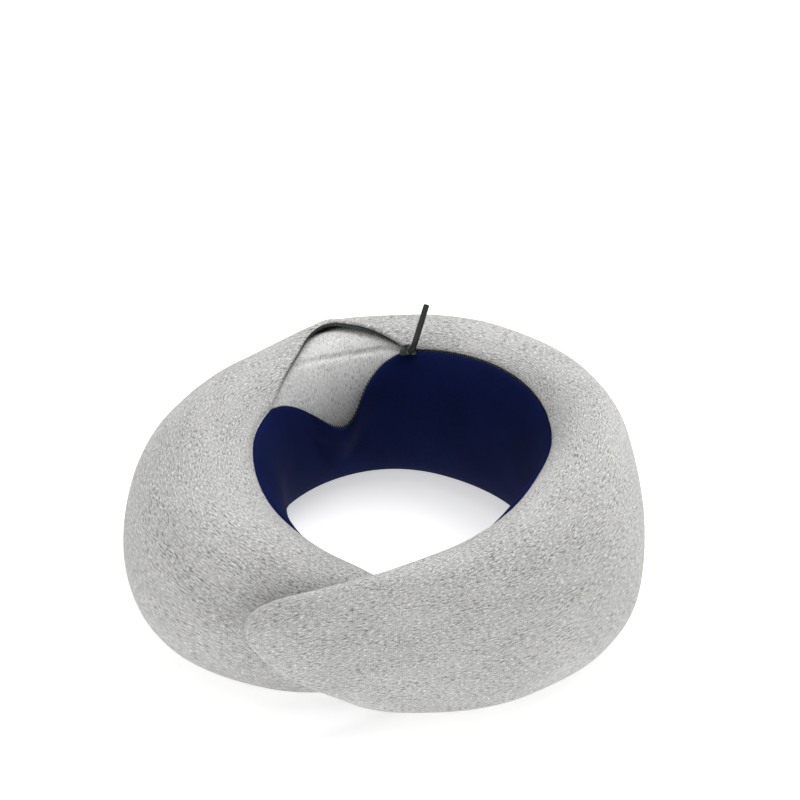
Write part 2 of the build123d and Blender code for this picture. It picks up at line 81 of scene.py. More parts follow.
@dataclass(frozen=True)
class Curve:
    """Smooth curve through a few (position, value) knots, flat past its ends."""

    knots: tuple[tuple[float, float], ...]

    def at(self, x: float) -> float:
        """Value at one position.

        Args:
            x: Position, in the knots' own unit.

        Returns:
            The value on a cubic through the knots.
        """
        places = [k[0] for k in self.knots]
        values = [k[1] for k in self.knots]
        if x <= places[0]:
            return values[0]
        if x >= places[-1]:
            return values[-1]
        last = len(places) - 2
        i = max(0, min(last, bisect_right(places, x) - 1))

        def slope(k: int) -> float:
            """Slope of the curve at one knot."""
            low, high = max(k - 1, 0), min(k + 1, last + 1)
            return (values[high] - values[low]) / (places[high] - places[low])

        span = places[i + 1] - places[i]
        s = (x - places[i]) / span
        return (
            (2 * s**3 - 3 * s**2 + 1) * values[i]
            + (s**3 - 2 * s**2 + s) * span * slope(i)
            + (3 * s**2 - 2 * s**3) * values[i + 1]
            + (s**3 - s**2) * span * slope(i + 1)
        )


def smooth(x: float) -> float:
    """Smooth step from 0 at 0 to 1 at 1."""
    x = min(max(x, 0.0), 1.0)
    return x * x * (3 - 2 * x)


def rounding(share: float) -> float:
    """Quarter-round from 0 at share 0 to 1 at share 1 and past it."""
    return math.sqrt(max(0.0, 1 - (1 - min(share, 1.0)) ** 2))


@dataclass
class Section:
    """The ring's cross-section on the upright plane at one plan angle, in metres."""

    SQUARENESS = 2.3
    EGG = 0.10
    LOWEST, HIGHEST = -100, 280

    angle: float
    outer: float
    half: float
    rise: float
    middle_z: float
    middle_r: float
    floor: float
    share: float
    nose: float
    turns: list[float] = field(default_factory=list)
    arcs: list[float] = field(default_factory=list)

    def __post_init__(self) -> None:
        """Measures the curve once, so that lengths along it can be looked up."""
        total, before = 0.0, None
        for step in range(self.LOWEST, self.HIGHEST + 1):
            here = self.point(step)
            if before is not None:
                total += math.hypot(here[0] - before[0], here[1] - before[1])
            self.turns.append(float(step))
            self.arcs.append(total)
            before = here
        top = self.arcs[90 - self.LOWEST]
        self.arcs = [a - top for a in self.arcs]

    def point(self, turn: float, depth: float = 0.0) -> tuple[float, float]:
        """Radius and height at a section angle: 0 faces out, 90 up and 180 the neck.

        Args:
            turn: Section angle in degrees.
            depth: How far inside the curve.

        Returns:
            The point's radius and height.
        """
        c, s = math.cos(math.radians(turn)), math.sin(math.radians(turn))
        wide = math.copysign(abs(c) ** (2 / self.SQUARENESS), c)
        high = math.copysign(abs(s) ** (2 / self.SQUARENESS), s)
        half, rise = max(self.half - depth, 1e-7), max(self.rise - depth, 1e-7)
        radius = self.middle_r + half * wide * (1 - self.EGG * high)
        return radius, self.middle_z + rise * high

    def arc_of(self, turn: float) -> float:
        """Length along the curve from its top to a section angle, towards the neck."""
        place = min(max(turn - self.LOWEST, 0.0), len(self.arcs) - 1.001)
        i = int(place)
        return self.arcs[i] + (self.arcs[i + 1] - self.arcs[i]) * (place - i)

    def turn_of(self, arc: float) -> float:
        """Section angle at a length along the curve from its top.

        Args:
            arc: Length along the curve from its top.

        Returns:
            The section angle in degrees.
        """
        i = min(max(bisect_right(self.arcs, arc) - 1, 0), len(self.arcs) - 2)
        span = self.arcs[i + 1] - self.arcs[i]
        share = 0.0 if span < 1e-12 else (arc - self.arcs[i]) / span
        return self.turns[i] + min(max(share, 0.0), 1.0)

    def low_turn(self) -> float:
        """Section angle, below 0, where the curve meets its flat underside."""
        high = min(abs(self.floor - self.middle_z) / self.rise, 1.0)
        return -math.degrees(math.asin(high ** (self.SQUARENESS / 2)))

    def seam_arc(self) -> float:
        """Length from the top to the seam between the cover and the neck panel."""
        share = min(max(self.share, 0.0), 1.0)
        return self.arc_of(180 - math.degrees(math.asin(share ** (self.SQUARENESS / 2))))

    def raised(self, arc: float, lift: float) -> tuple[float, float]:
        """Radius and height of a point stood off the curve.

        Args:
            arc: Length along the curve from its top.
            lift: Distance outward from the curve; below 0 is inward.

        Returns:
            The point's radius and height.
        """
        turn = self.turn_of(arc)
        before, after = self.point(turn - 1.5), self.point(turn + 1.5)
        along_r, along_z = after[0] - before[0], after[1] - before[1]
        size = math.hypot(along_r, along_z) or 1.0
        radius, height = self.point(turn)
        lift *= rounding(self.nose / 0.012)
        return radius + lift * along_z / size, height - lift * along_r / size


class RingShape:
    """The pillow's ring as a run of sections, with the zip's tilted circle on it."""

    # angle, outer radius, thickness, top, base lift, seam share: millimetres, degrees
    STATIONS = (
        (-128, 130, 13, 84, 50, 0.60),
        (-119, 126, 17, 90, 39, 0.50),
        (-109, 120, 20, 98, 27, 0.50),
        (-97, 113, 25, 102, 12, 0.55),
        (-80, 111, 38, 103, 4, 0.68),
        (-55, 119, 58, 104, 0, 0.80),
        (-25, 131, 74, 108, 0, 0.82),
        (5, 126, None, 113, 0, None),
        (35, 130, None, 105, 0, None),
        (65, 134, None, 98, 0, None),
        (95, 131, None, 95, 0, None),
        (120, 132, None, 92, 0, None),
        (141, 137, None, 92, 0, None),
        (175, 144, 84, 97, 0, 0.80),
        (205, 142, 85, 95, 0, 0.74),
        (230, 117, 61, 86, 0, 0.66),
        (252, 93, 40, 73, 0, 0.68),
        (274, 75, 21, 54, 0, 0.74),
        (292, 64, 12, 36, 0, 0.80),
    )
    FIRST, LAST = -128.0, 292.0
    ZIP_SPAN = (5.0, 141.0)
    SEAM_RADIUS, SEAM_CENTRE_Y, SEAM_HEIGHT, SEAM_TILT = 78.0, 10.5, 88.0, 6.0
    SINK, TIP_SINK, LIFT_FULL = 3.0, 0.6, 20.0
    NOSE_WIDTH, NOSE_HEIGHT = 10.0, 24.0

    def __init__(self, centre: Vector) -> None:
        """Fills in the zip's stations.

        Args:
            centre: The ring's own centre on the base, in metres.
        """
        self.centre = centre
        rows = [self._filled(row) for row in self.STATIONS]
        self.columns = [
            Curve(tuple((row[0], row[k]) for row in rows)) for k in range(1, 6)
        ]
        self.kept: dict[float, Section] = {}

    def zip_point(self, turn: float) -> Vector:
        """Point of the zip's circle from the ring's centre, in millimetres.

        Args:
            turn: Angle round the zip's own circle, in degrees.

        Returns:
            The point.
        """
        tilt = math.radians(self.SEAM_TILT)
        along = self.SEAM_RADIUS * math.cos(math.radians(turn))
        across = self.SEAM_RADIUS * math.sin(math.radians(turn))
        return Vector(
            (
                along * math.cos(tilt),
                self.SEAM_CENTRE_Y + across,
                self.SEAM_HEIGHT + along * math.sin(tilt),
            )
        )

    def zip_turn(self, angle: float) -> float:
        """Angle round the zip's circle of the point at a plan angle.

        Args:
            angle: Plan angle in degrees.

        Returns:
            The angle round the circle, in degrees.
        """
        tilt, plan = math.radians(self.SEAM_TILT), math.radians(angle)
        lead = math.atan2(math.cos(tilt) * math.sin(plan), math.cos(plan))
        size = self.SEAM_RADIUS * math.hypot(math.cos(plan), math.cos(tilt) * math.sin(plan))
        return math.degrees(lead + math.asin(-self.SEAM_CENTRE_Y * math.cos(plan) / size))

    def _through_zip(
        self, angle: float, outer: float, top: float, base: float, sink: float
    ) -> tuple[float, float]:
        """Fits a section to the zip's circle, in millimetres.

        Args:
            angle: Plan angle in degrees.
            outer: Radius of the outer side.
            top: Height of the top.
            base: Height of the underside.
            sink: How far the round section would reach below its flat underside.

        Returns:
            The section's half thickness and the seam's share of its height.
        """
        seam = self.zip_point(self.zip_turn(angle))
        half_height = (top - base + sink) / 2
        share = (seam.z - (top - half_height)) / half_height
        square = Section.SQUARENESS
        bulge = (1 - abs(share) ** square) ** (1 / square) * (1 - Section.EGG * share)
        return (outer - math.hypot(seam.x, seam.y)) / (1 + bulge), share

    def _filled(self, row: tuple[float | None, ...]) -> tuple[float, ...]:
        """One station with its half thickness and seam share worked out.

        Args:
            row: A row of STATIONS.

        Returns:
            Plan angle, outer radius, half thickness, top, base lift and seam share.
        """
        angle, outer, thick, top, base, share = row
        if thick is None:
            half, share = self._through_zip(angle, outer, top, base, self.SINK)
        else:
            half = thick / 2
        return angle, outer, half, top, base, share

    def section(self, angle: float) -> Section:
        """The section at a plan angle, rounded off near the arms' ends.

        Args:
            angle: Plan angle in degrees.

        Returns:
            The section, measured once and kept.
        """
        key = round(angle, 4)
        if key not in self.kept:
            outer, half, top, base, share = (c.at(angle) for c in self.columns)
            base = max(base, 0.0)
            sink = self.SINK + (self.TIP_SINK - self.SINK) * min(base / self.LIFT_FULL, 1)
            if self.ZIP_SPAN[0] <= angle <= self.ZIP_SPAN[1]:
                half, share = self._through_zip(angle, outer, top, base, sink)
            rise = (top - base + sink) / 2
            middle_z, middle_r = top - rise, outer - half
            nose = outer * math.radians(min(angle - self.FIRST, self.LAST - angle))
            half *= max(rounding(nose / self.NOSE_WIDTH), 1e-6)
            squeeze = max(rounding(nose / self.NOSE_HEIGHT), 1e-6)
            base = middle_z - (middle_z - base) * squeeze
            self.kept[key] = Section(
                angle,
                outer * MM,
                half * MM,
                rise * squeeze * MM,
                middle_z * MM,
                middle_r * MM,
                base * MM,
                share,
                max(nose, 0.0) * MM,
            )
        return self.kept[key]

    def place(self, angle: float, radius: float, height: float) -> Vector:
        """Point in the frame from plan angle, radius and height."""
        a = math.radians(angle)
        return self.centre + Vector((radius * math.cos(a), radius * math.sin(a), height))


@dataclass(frozen=True)
class Mouth:
    """The open end of the zip, from the slider to the top stops.

    raise_ moves the upper half outward and drop the lower half towards the neck; gape and
    flap stand their edges off the ring, and reveal bares the upper tape. Each is in
    millimetres against the plan angle. The reaches are in metres.
    """

    raise_: Curve = Curve(
        ((87, 0), (90, 2.5), (95, 7), (105, 17), (111, 24), (116, 22), (124, 14), (134, 7), (144, 0))
    )
    drop: Curve = Curve(
        (
            *((87, 0), (92, 2), (99, 8), (105, 16), (110, 27), (115, 33)),
            *((120, 30), (126, 21), (133, 10), (139, 3), (144, 0)),
        )
    )
    gape: Curve = Curve(
        ((90, 0), (96, 1.8), (102, 6.2), (107, 9.0), (112, 8.2), (118, 4), (124, 1), (134, 0))
    )
    flap: Curve = Curve(
        ((87, 0), (95, 2), (105, 3.4), (114, 3.6), (124, 3.0), (135, 1.8), (144, 0))
    )
    reveal: Curve = Curve(
        ((88, 0), (94, 1.4), (102, 2.2), (109, 2.0), (116, 0.9), (124, 0.4), (134, 0.2), (144, 0))
    )
    FLAP_REACH: float = 0.034
    GAPE_REACH: float = 0.032

    def flap_lift(self, angle: float, away: float) -> float:
        """How far the folded flap stands off the ring, in metres.

        Args:
            angle: Plan angle in degrees.
            away: Distance outward from the zip's upper half, in metres.

        Returns:
            The lift in metres.
        """
        return self.flap.at(angle) * MM * smooth(1 - max(away, 0.0) / self.FLAP_REACH)

    def gape_lift(self, angle: float, away: float) -> float:
        """How far the neck panel's sagging edge stands off the liner.

        Args:
            angle: Plan angle in degrees.
            away: Distance towards the neck from the zip's lower half, in metres.

        Returns:
            The lift in metres.
        """
        return self.gape.at(angle) * MM * smooth(1 - max(away, 0.0) / self.GAPE_REACH)


def bumps(point: Vector, size: float, seed: float) -> float:
    """Soft noise over lengths of a given size.

    Args:
        point: Place in metres.
        size: Length of one swell in metres.
        seed: Shifts the pattern.

    Returns:
        A value from about -1 to 1.
    """
    return noise.noise(point / size + Vector((seed, 2.7 * seed, -seed)))


Row = tuple[float, float, float]  # radius, height and place across the fabric, in metres
Rows = Callable[[Section], list[Row]]
Way = Callable[[Section, float], tuple[float, float]]


class Cloth:
    """Lays grids of fabric over the ring."""

    NOSE_STEPS = (0.0, 0.12, 0.45, 1.0, 1.8, 2.8, 4.0, 5.5, 7.3, 9.4, 12.0, 15.0, 18.5, 22.5)
    SPLIT = 60.0

    def __init__(self, shape: RingShape) -> None:
        """Keeps the ring that the fabric lies on."""
        self.shape = shape

    def nose_angles(self, end: float, way: int, start: float) -> list[float]:
        """Plan angles that close in on an arm's end.

        Args:
            end: Plan angle of the arm's end.
            way: 1 where angles grow away from the end, otherwise -1.
            start: Distance from the end where the piece begins, in mm.

        Returns:
            Plan angles, nearest the end first.
        """
        radius = self.shape.section(end + way * 5).outer / MM
        steps = [start] + [d for d in self.NOSE_STEPS if d > start + 0.3]
        return [end + way * math.degrees(d / radius) for d in steps]

    def angles(self, side: Side, step: float, start: float = 0.0) -> list[float]:
        """Plan angles of a full length of fabric.

        Args:
            side: Which of the two lengths.
            step: Angle between columns away from the arm's end.
            start: Distance from the arm's end where the piece begins, in mm.

        Returns:
            Increasing plan angles.
        """
        if side is Side.ARM:
            near = self.nose_angles(self.shape.FIRST, 1, start)
            low, high = near[-1], self.SPLIT
        else:
            near = self.nose_angles(self.shape.LAST, -1, start)[::-1]
            low, high = self.SPLIT, near[0]
        count = max(2, round((high - low) / step))
        even = [low + (high - low) * i / count for i in range(count + 1)]
        return near[:-1] + even if side is Side.ARM else even + near[1:]

    def lay(
        self, name: str, angles: Sequence[float], rows: Rows, material: Finish, caps: bool = False
    ) -> Piece:
        """Lays one grid of fabric and makes it an object.

        Args:
            name: Name of the new piece.
            angles: Plan angle of each column.
            rows: Gives each column's points as radius, height and place across.
            material: The fabric's finish.
            caps: Whether the open ends are filled, for a closed solid.

        Returns:
            The new object, with its place in its mesh.
        """
        columns = [rows(self.shape.section(a)) for a in angles]
        across = len(columns[0])
        bm = bmesh.new()
        bmesh.ops.create_grid(bm, x_segments=len(angles) - 1, y_segments=across - 1, size=0.5)
        uv_layer = bm.loops.layers.uv.new("UVMap")
        places: dict[int, tuple[float, float]] = {}
        for vert in bm.verts:
            i = round((vert.co.x + 0.5) * (len(angles) - 1))
            j = round((vert.co.y + 0.5) * (across - 1))
            radius, height, v = columns[i][j]
            places[vert.index] = (math.radians(angles[i]) * U_RADIUS, v)
            vert.co = self.shape.place(angles[i], radius, height)
        for face in bm.faces:
            face.smooth = True
            for loop in face.loops:
                loop[uv_layer].uv = places[loop.vert.index]
        bmesh.ops.remove_doubles(bm, verts=bm.verts[:], dist=4e-6)
        if caps:
            bmesh.ops.holes_fill(bm, edges=[e for e in bm.edges if e.is_boundary])
        return finished(name, bm, material)


def finished(name: str, bm: bmesh.types.BMesh, material: Finish) -> Piece:
    """Makes a piece from a mesh that is already in its place.

    Args:
        name: Name of the piece.
        bm: The mesh, which is freed.
        material: Its finish.

    Returns:
        The object, linked to the scene.
    """
    mesh = bpy.data.meshes.new(name)
    bm.to_mesh(mesh)
    bm.free()
    mesh.materials.append(material)
    piece = bpy.data.objects.new(name, mesh)
    bpy.context.scene.collection.objects.link(piece)
    return piece


class Nodes:
    """Small helper that wires a material's nodes."""

    def __init__(self, name: str) -> None:
        """Starts a material with a plain shader.

        Args:
            name: Name of the material.
        """
        self.material = bpy.data.materials.new(name)
        self.material.use_nodes = True
        self.tree = self.material.node_tree
        self.shader = self.tree.nodes["Principled BSDF"]

    def add(self, kind: str, **settings: object) -> bpy.types.Node:
        """Adds a node; settings with an upper-case first letter are its sockets.

        Args:
            kind: The node's type.
            **settings: Values of its settings and sockets.

        Returns:
            The node.
        """
        node = self.tree.nodes.new(kind)
        for key, value in settings.items():
            if key[0].isupper():
                node.inputs[key.replace("_", " ")].default_value = value
            else:
                setattr(node, key, value)
        return node

    def link(self, source: Socket, target: Socket) -> None:
        """Joins two sockets."""
        self.tree.links.new(source, target)

    def coordinates(self, output: str, scale: Sequence[float]) -> Socket:
        """Coordinates of the piece, scaled.

        Args:
            output: "UV" or "Object".
            scale: Repeats for each metre along each axis.

        Returns:
            The scaled vector.
        """
        source = self.add("ShaderNodeTexCoord")
        mapping = self.add("ShaderNodeMapping", Scale=tuple(scale))
        self.link(source.outputs[output], mapping.inputs["Vector"])
        return mapping.outputs["Vector"]

    def noise(
        self, output: str, scale: Sequence[float], detail: float = 3.0, rough: float = 0.6
    ) -> Socket:
        """Value of a noise texture.

        Args:
            output: "UV" or "Object".
            scale: Cells for each metre along each axis.
            detail: How many finer layers it has.
            rough: Strength of the finer layers.

        Returns:
            The noise, from 0 to 1.
        """
        node = self.add("ShaderNodeTexNoise", Scale=1.0, Detail=detail, Roughness=rough)
        self.link(self.coordinates(output, scale), node.inputs["Vector"])
        return node.outputs["Fac"]

    def bands(self, direction: str, scale: Sequence[float], distortion: float) -> Socket:
        """Wavy bands across the piece's own map.

        Args:
            direction: "X", "Y" or "DIAGONAL".
            scale: Repeats for each metre along each axis.
            distortion: How far the bands wander.

        Returns:
            The bands, from 0 to 1.
        """
        node = self.add("ShaderNodeTexWave", wave_type="BANDS", bands_direction=direction)
        for key, number in {"Scale": 1.0, "Distortion": distortion, "Detail": 2.0}.items():
            node.inputs[key].default_value = number
        self.link(self.coordinates("UV", scale), node.inputs["Vector"])
        return node.outputs["Fac"]

    def cells(self, output: str, scale: Sequence[float]) -> Socket:
        """Distance from the middles of close-packed cells."""
        node = self.add("ShaderNodeTexVoronoi", Scale=1.0)
        self.link(self.coordinates(output, scale), node.inputs["Vector"])
        return node.outputs["Distance"]

    def ramp(
        self, value: Socket, low: float, high: float, start: float = 0.0, end: float = 1.0
    ) -> Socket:
        """Value spread smoothly from one range to another and kept inside it.

        Args:
            value: The value to spread.
            low: Where the old range starts.
            high: Where the old range ends.
            start: Result at low.
            end: Result at high.

        Returns:
            The spread value.
        """
        node = self.add("ShaderNodeMapRange", interpolation_type="SMOOTHSTEP")
        limits = {"From Min": low, "From Max": high, "To Min": start, "To Max": end}
        for key, number in limits.items():
            node.inputs[key].default_value = number
        self.link(value, node.inputs["Value"])
        return node.outputs["Result"]

    def math(self, operation: str, *values: object) -> Socket:
        """Result of a math node on sockets or numbers.

        Args:
            operation: What it works out.
            *values: A socket or number for each input.

        Returns:
            The result.
        """
        node = self.add("ShaderNodeMath", operation=operation)
        for socket, value in zip(node.inputs, values):
            if isinstance(value, (int, float)):
                socket.default_value = value
            else:
                self.link(value, socket)
        return node.outputs["Value"]

    def mix(self, factor: object, first: object, second: object) -> Socket:
        """Mix of two colours, each a socket or a colour.

        Args:
            factor: Share of the second, a socket or a number.
            first: The first colour.
            second: The second colour.

        Returns:
            The mixed colour.
        """
        node = self.add("ShaderNodeMix", data_type="RGBA")
        for index, value in ((0, factor), (6, first), (7, second)):
            if isinstance(value, Socket):
                self.link(value, node.inputs[index])
            elif index == 0:
                node.inputs[index].default_value = value
            else:
                node.inputs[index].default_value = (*value, 1.0)
        return node.outputs[2]

    def bump(
        self, height: Socket, strength: float, distance: float, under: Socket | None = None
    ) -> Socket:
        """Normal of a bump map.

        Args:
            height: The bumps, from 0 to 1.
            strength: Share of the bumps that shows.
            distance: Height of a full bump in metres.
            under: Normal that the bumps lie on, if there is one.

        Returns:
            The new normal.
        """
        node = self.add("ShaderNodeBump", Strength=strength, Distance=distance)
        self.link(height, node.inputs["Height"])
        if under is not None:
            self.link(under, node.inputs["Normal"])
        return node.outputs["Normal"]

    def finish(self, colour: Socket, normal: Socket | None = None, **sockets: object) -> Finish:
        """Sets the shader's own sockets and gives the material back.

        Args:
            colour: Base colour.
            normal: Surface normal, if it has bumps.
            **sockets: Values of the shader's other sockets.

        Returns:
            The finished material.
        """
        for key, value in sockets.items():
            self.shader.inputs[key.replace("_", " ")].default_value = value
        self.link(colour, self.shader.inputs["Base Color"])
        if normal is not None:
            self.link(normal, self.shader.inputs["Normal"])
        return self.material


def toned(colour: Colour, factor: float) -> Colour:
    """A colour made darker or lighter by a factor."""
    return tuple(c * factor for c in colour)


@dataclass(frozen=True)
class HeatherJersey:
    """Grey marl knit: pale and dark fibres in streaks along the ring."""

    name: str = "heather_jersey"
    base: Colour = (0.575, 0.57, 0.555)
    dark: Colour = (0.12, 0.12, 0.118)
    light: Colour = (0.93, 0.92, 0.90)
    streak: float = 1.0
    knit: float = 0.5
    turned: bool = False

    def scale(self, along: float, across: float) -> tuple[float, float, float]:
        """Repeats along and across the ring, swapped where the fibres run across it."""
        return (across, along, 1.0) if self.turned else (along, across, 1.0)

    def make(self) -> Finish:
        """Builds the material.

        Returns:
            The finished material.
        """
        n = Nodes(self.name)
        long = n.noise("UV", self.scale(330, 1300), rough=0.62)
        short = n.noise("UV", self.scale(800, 1800), 2.0)
        pale = n.noise("UV", self.scale(420, 1500), rough=0.62)
        patch = n.noise("UV", self.scale(38, 120), rough=0.55)
        broad = n.noise("UV", self.scale(14, 26), 2.0, 0.5)
        clump = n.ramp(patch, 0.34, 0.62, 0.45, 1.0)
        dark = n.math("MULTIPLY", n.ramp(long, 0.49, 0.64), clump)
        flecks = n.math("MULTIPLY", n.ramp(short, 0.52, 0.68), 0.85)
        dark = n.math("MULTIPLY", n.math("MAXIMUM", dark, flecks), 0.88 * self.streak)
        light = n.math("MULTIPLY", n.ramp(pale, 0.50, 0.64), 0.9 * self.streak)
        tone = n.mix(n.ramp(broad, 0.30, 0.70), toned(self.base, 0.90), toned(self.base, 1.07))
        colour = n.mix(dark, n.mix(light, tone, self.light), self.dark)
        wale = n.bands("X", (290, 0, 0), 3.0)
        course = n.bands("Y", (0, 400, 0), 3.0)
        ribs = n.ramp(wale, 0.2, 0.9, 0.0, 0.08 * self.streak)
        colour = n.mix(ribs, colour, self.dark)
        loops = n.math("MULTIPLY", n.math("MULTIPLY", wale, course), 0.6)
        normal = n.bump(n.math("ADD", loops, long), self.knit, 0.0004)
        fuzz = n.noise("UV", (2600, 3400, 1), 2.0, 0.7)
        normal = n.bump(fuzz, 0.35, 0.0003, normal)
        return n.finish(colour, normal, Roughness=0.93, Sheen_Weight=0.22, Sheen_Roughness=0.5)


@dataclass(frozen=True)
class SmoothKnit:
    """Navy interlock knit of the neck panel."""

    name: str = "navy_knit"
    base: Colour = (0.0036, 0.0088, 0.060)
    deep: Colour = (0.0026, 0.0066, 0.046)

    def make(self) -> Finish:
        """Builds the material.

        Returns:
            The finished material.
        """
        n = Nodes(self.name)
        broad = n.noise("UV", (22, 30, 1), rough=0.5)
        fibre = n.noise("UV", (900, 1500, 1), 2.0)
        tone = n.mix(n.ramp(broad, 0.30, 0.72), self.deep, self.base)
        tone = n.mix(n.ramp(fibre, 0.55, 0.85, 0.0, 0.35), tone, toned(self.base, 1.9))
        wale = n.bands("X", (260, 0, 0), 0.6)
        course = n.bands("Y", (0, 320, 0), 0.6)
        loops = n.math("MULTIPLY", wale, course)
        normal = n.bump(n.math("ADD", loops, n.math("MULTIPLY", fibre, 0.4)), 0.35, 0.0002)
        return n.finish(tone, normal, Roughness=0.9, Specular_IOR_Level=0.10)


@dataclass(frozen=True)
class OpenFoam:
    """Cream memory foam with fine cells."""

    name: str = "memory_foam"
    deep: Colour = (0.72, 0.66, 0.50)
    pale: Colour = (0.80, 0.75, 0.60)

    def make(self) -> Finish:
        """Builds the material.

        Returns:
            The finished material.
        """
        n = Nodes(self.name)
        soft = n.noise("Object", (40, 40, 40), rough=0.5)
        colour = n.mix(soft, self.deep, self.pale)
        normal = n.bump(n.cells("Object", (900, 900, 900)), 0.5, 0.0006)
        return n.finish(colour, normal, Roughness=0.95)


@dataclass(frozen=True)
class WovenTape:
    """Dark grey woven zip tape with a fine herringbone."""

    name: str = "zip_tape_weave"
    base: Colour = (0.022, 0.024, 0.024)

    def make(self) -> Finish:
        """Builds the material.

        Returns:
            The finished material.
        """
        n = Nodes(self.name)
        warp = n.bands("DIAGONAL", (420, 620, 1), 0.4)
        fibre = n.noise("UV", (700, 2400, 1), 2.0)
        colour = n.mix(warp, toned(self.base, 0.7), toned(self.base, 1.4))
        colour = n.mix(n.ramp(fibre, 0.5, 0.85, 0.0, 0.5), colour, toned(self.base, 2.2))
        normal = n.bump(warp, 0.5, 0.0003)
        return n.finish(colour, normal, Roughness=0.8, Sheen_Weight=0.2)


@dataclass(frozen=True)
class Hard:
    """Moulded or cast finish with fine grain and rubbed tone."""

    name: str
    base: Colour
    worn: Colour
    roughness: float
    metallic: float = 0.0
    grain: float = 900.0
    strength: float = 0.15

    def make(self) -> Finish:
        """Builds the material.

        Returns:
            The finished material.
        """
        n = Nodes(self.name)
        fine = n.noise("Object", (self.grain,) * 3)
        rubbed = n.noise("Object", (self.grain / 5,) * 3)
        colour = n.mix(n.ramp(rubbed, 0.45, 0.70), self.base, self.worn)
        gloss = n.ramp(rubbed, 0.35, 0.7, self.roughness * 1.15, self.roughness * 0.8)
        n.link(gloss, n.shader.inputs["Roughness"])
        normal = n.bump(fine, self.strength, 0.0002)
        return n.finish(colour, normal, Metallic=self.metallic)


@dataclass(frozen=True)
class LoopPile:
    """Fastening fabric: short tufts in close rows."""

    name: str
    base: Colour

    def make(self) -> Finish:
        """Builds the material.

        Returns:
            The finished material.
        """
        n = Nodes(self.name)
        tufts = n.cells("UV", (900, 900, 1))
        fibre = n.noise("UV", (2600, 2600, 1), 2.0, 0.7)
        colour = n.mix(tufts, toned(self.base, 1.5), toned(self.base, 0.6))
        normal = n.bump(n.math("ADD", tufts, fibre), 0.8, 0.0006)
        return n.finish(colour, normal, Roughness=0.9, Sheen_Weight=0.4)


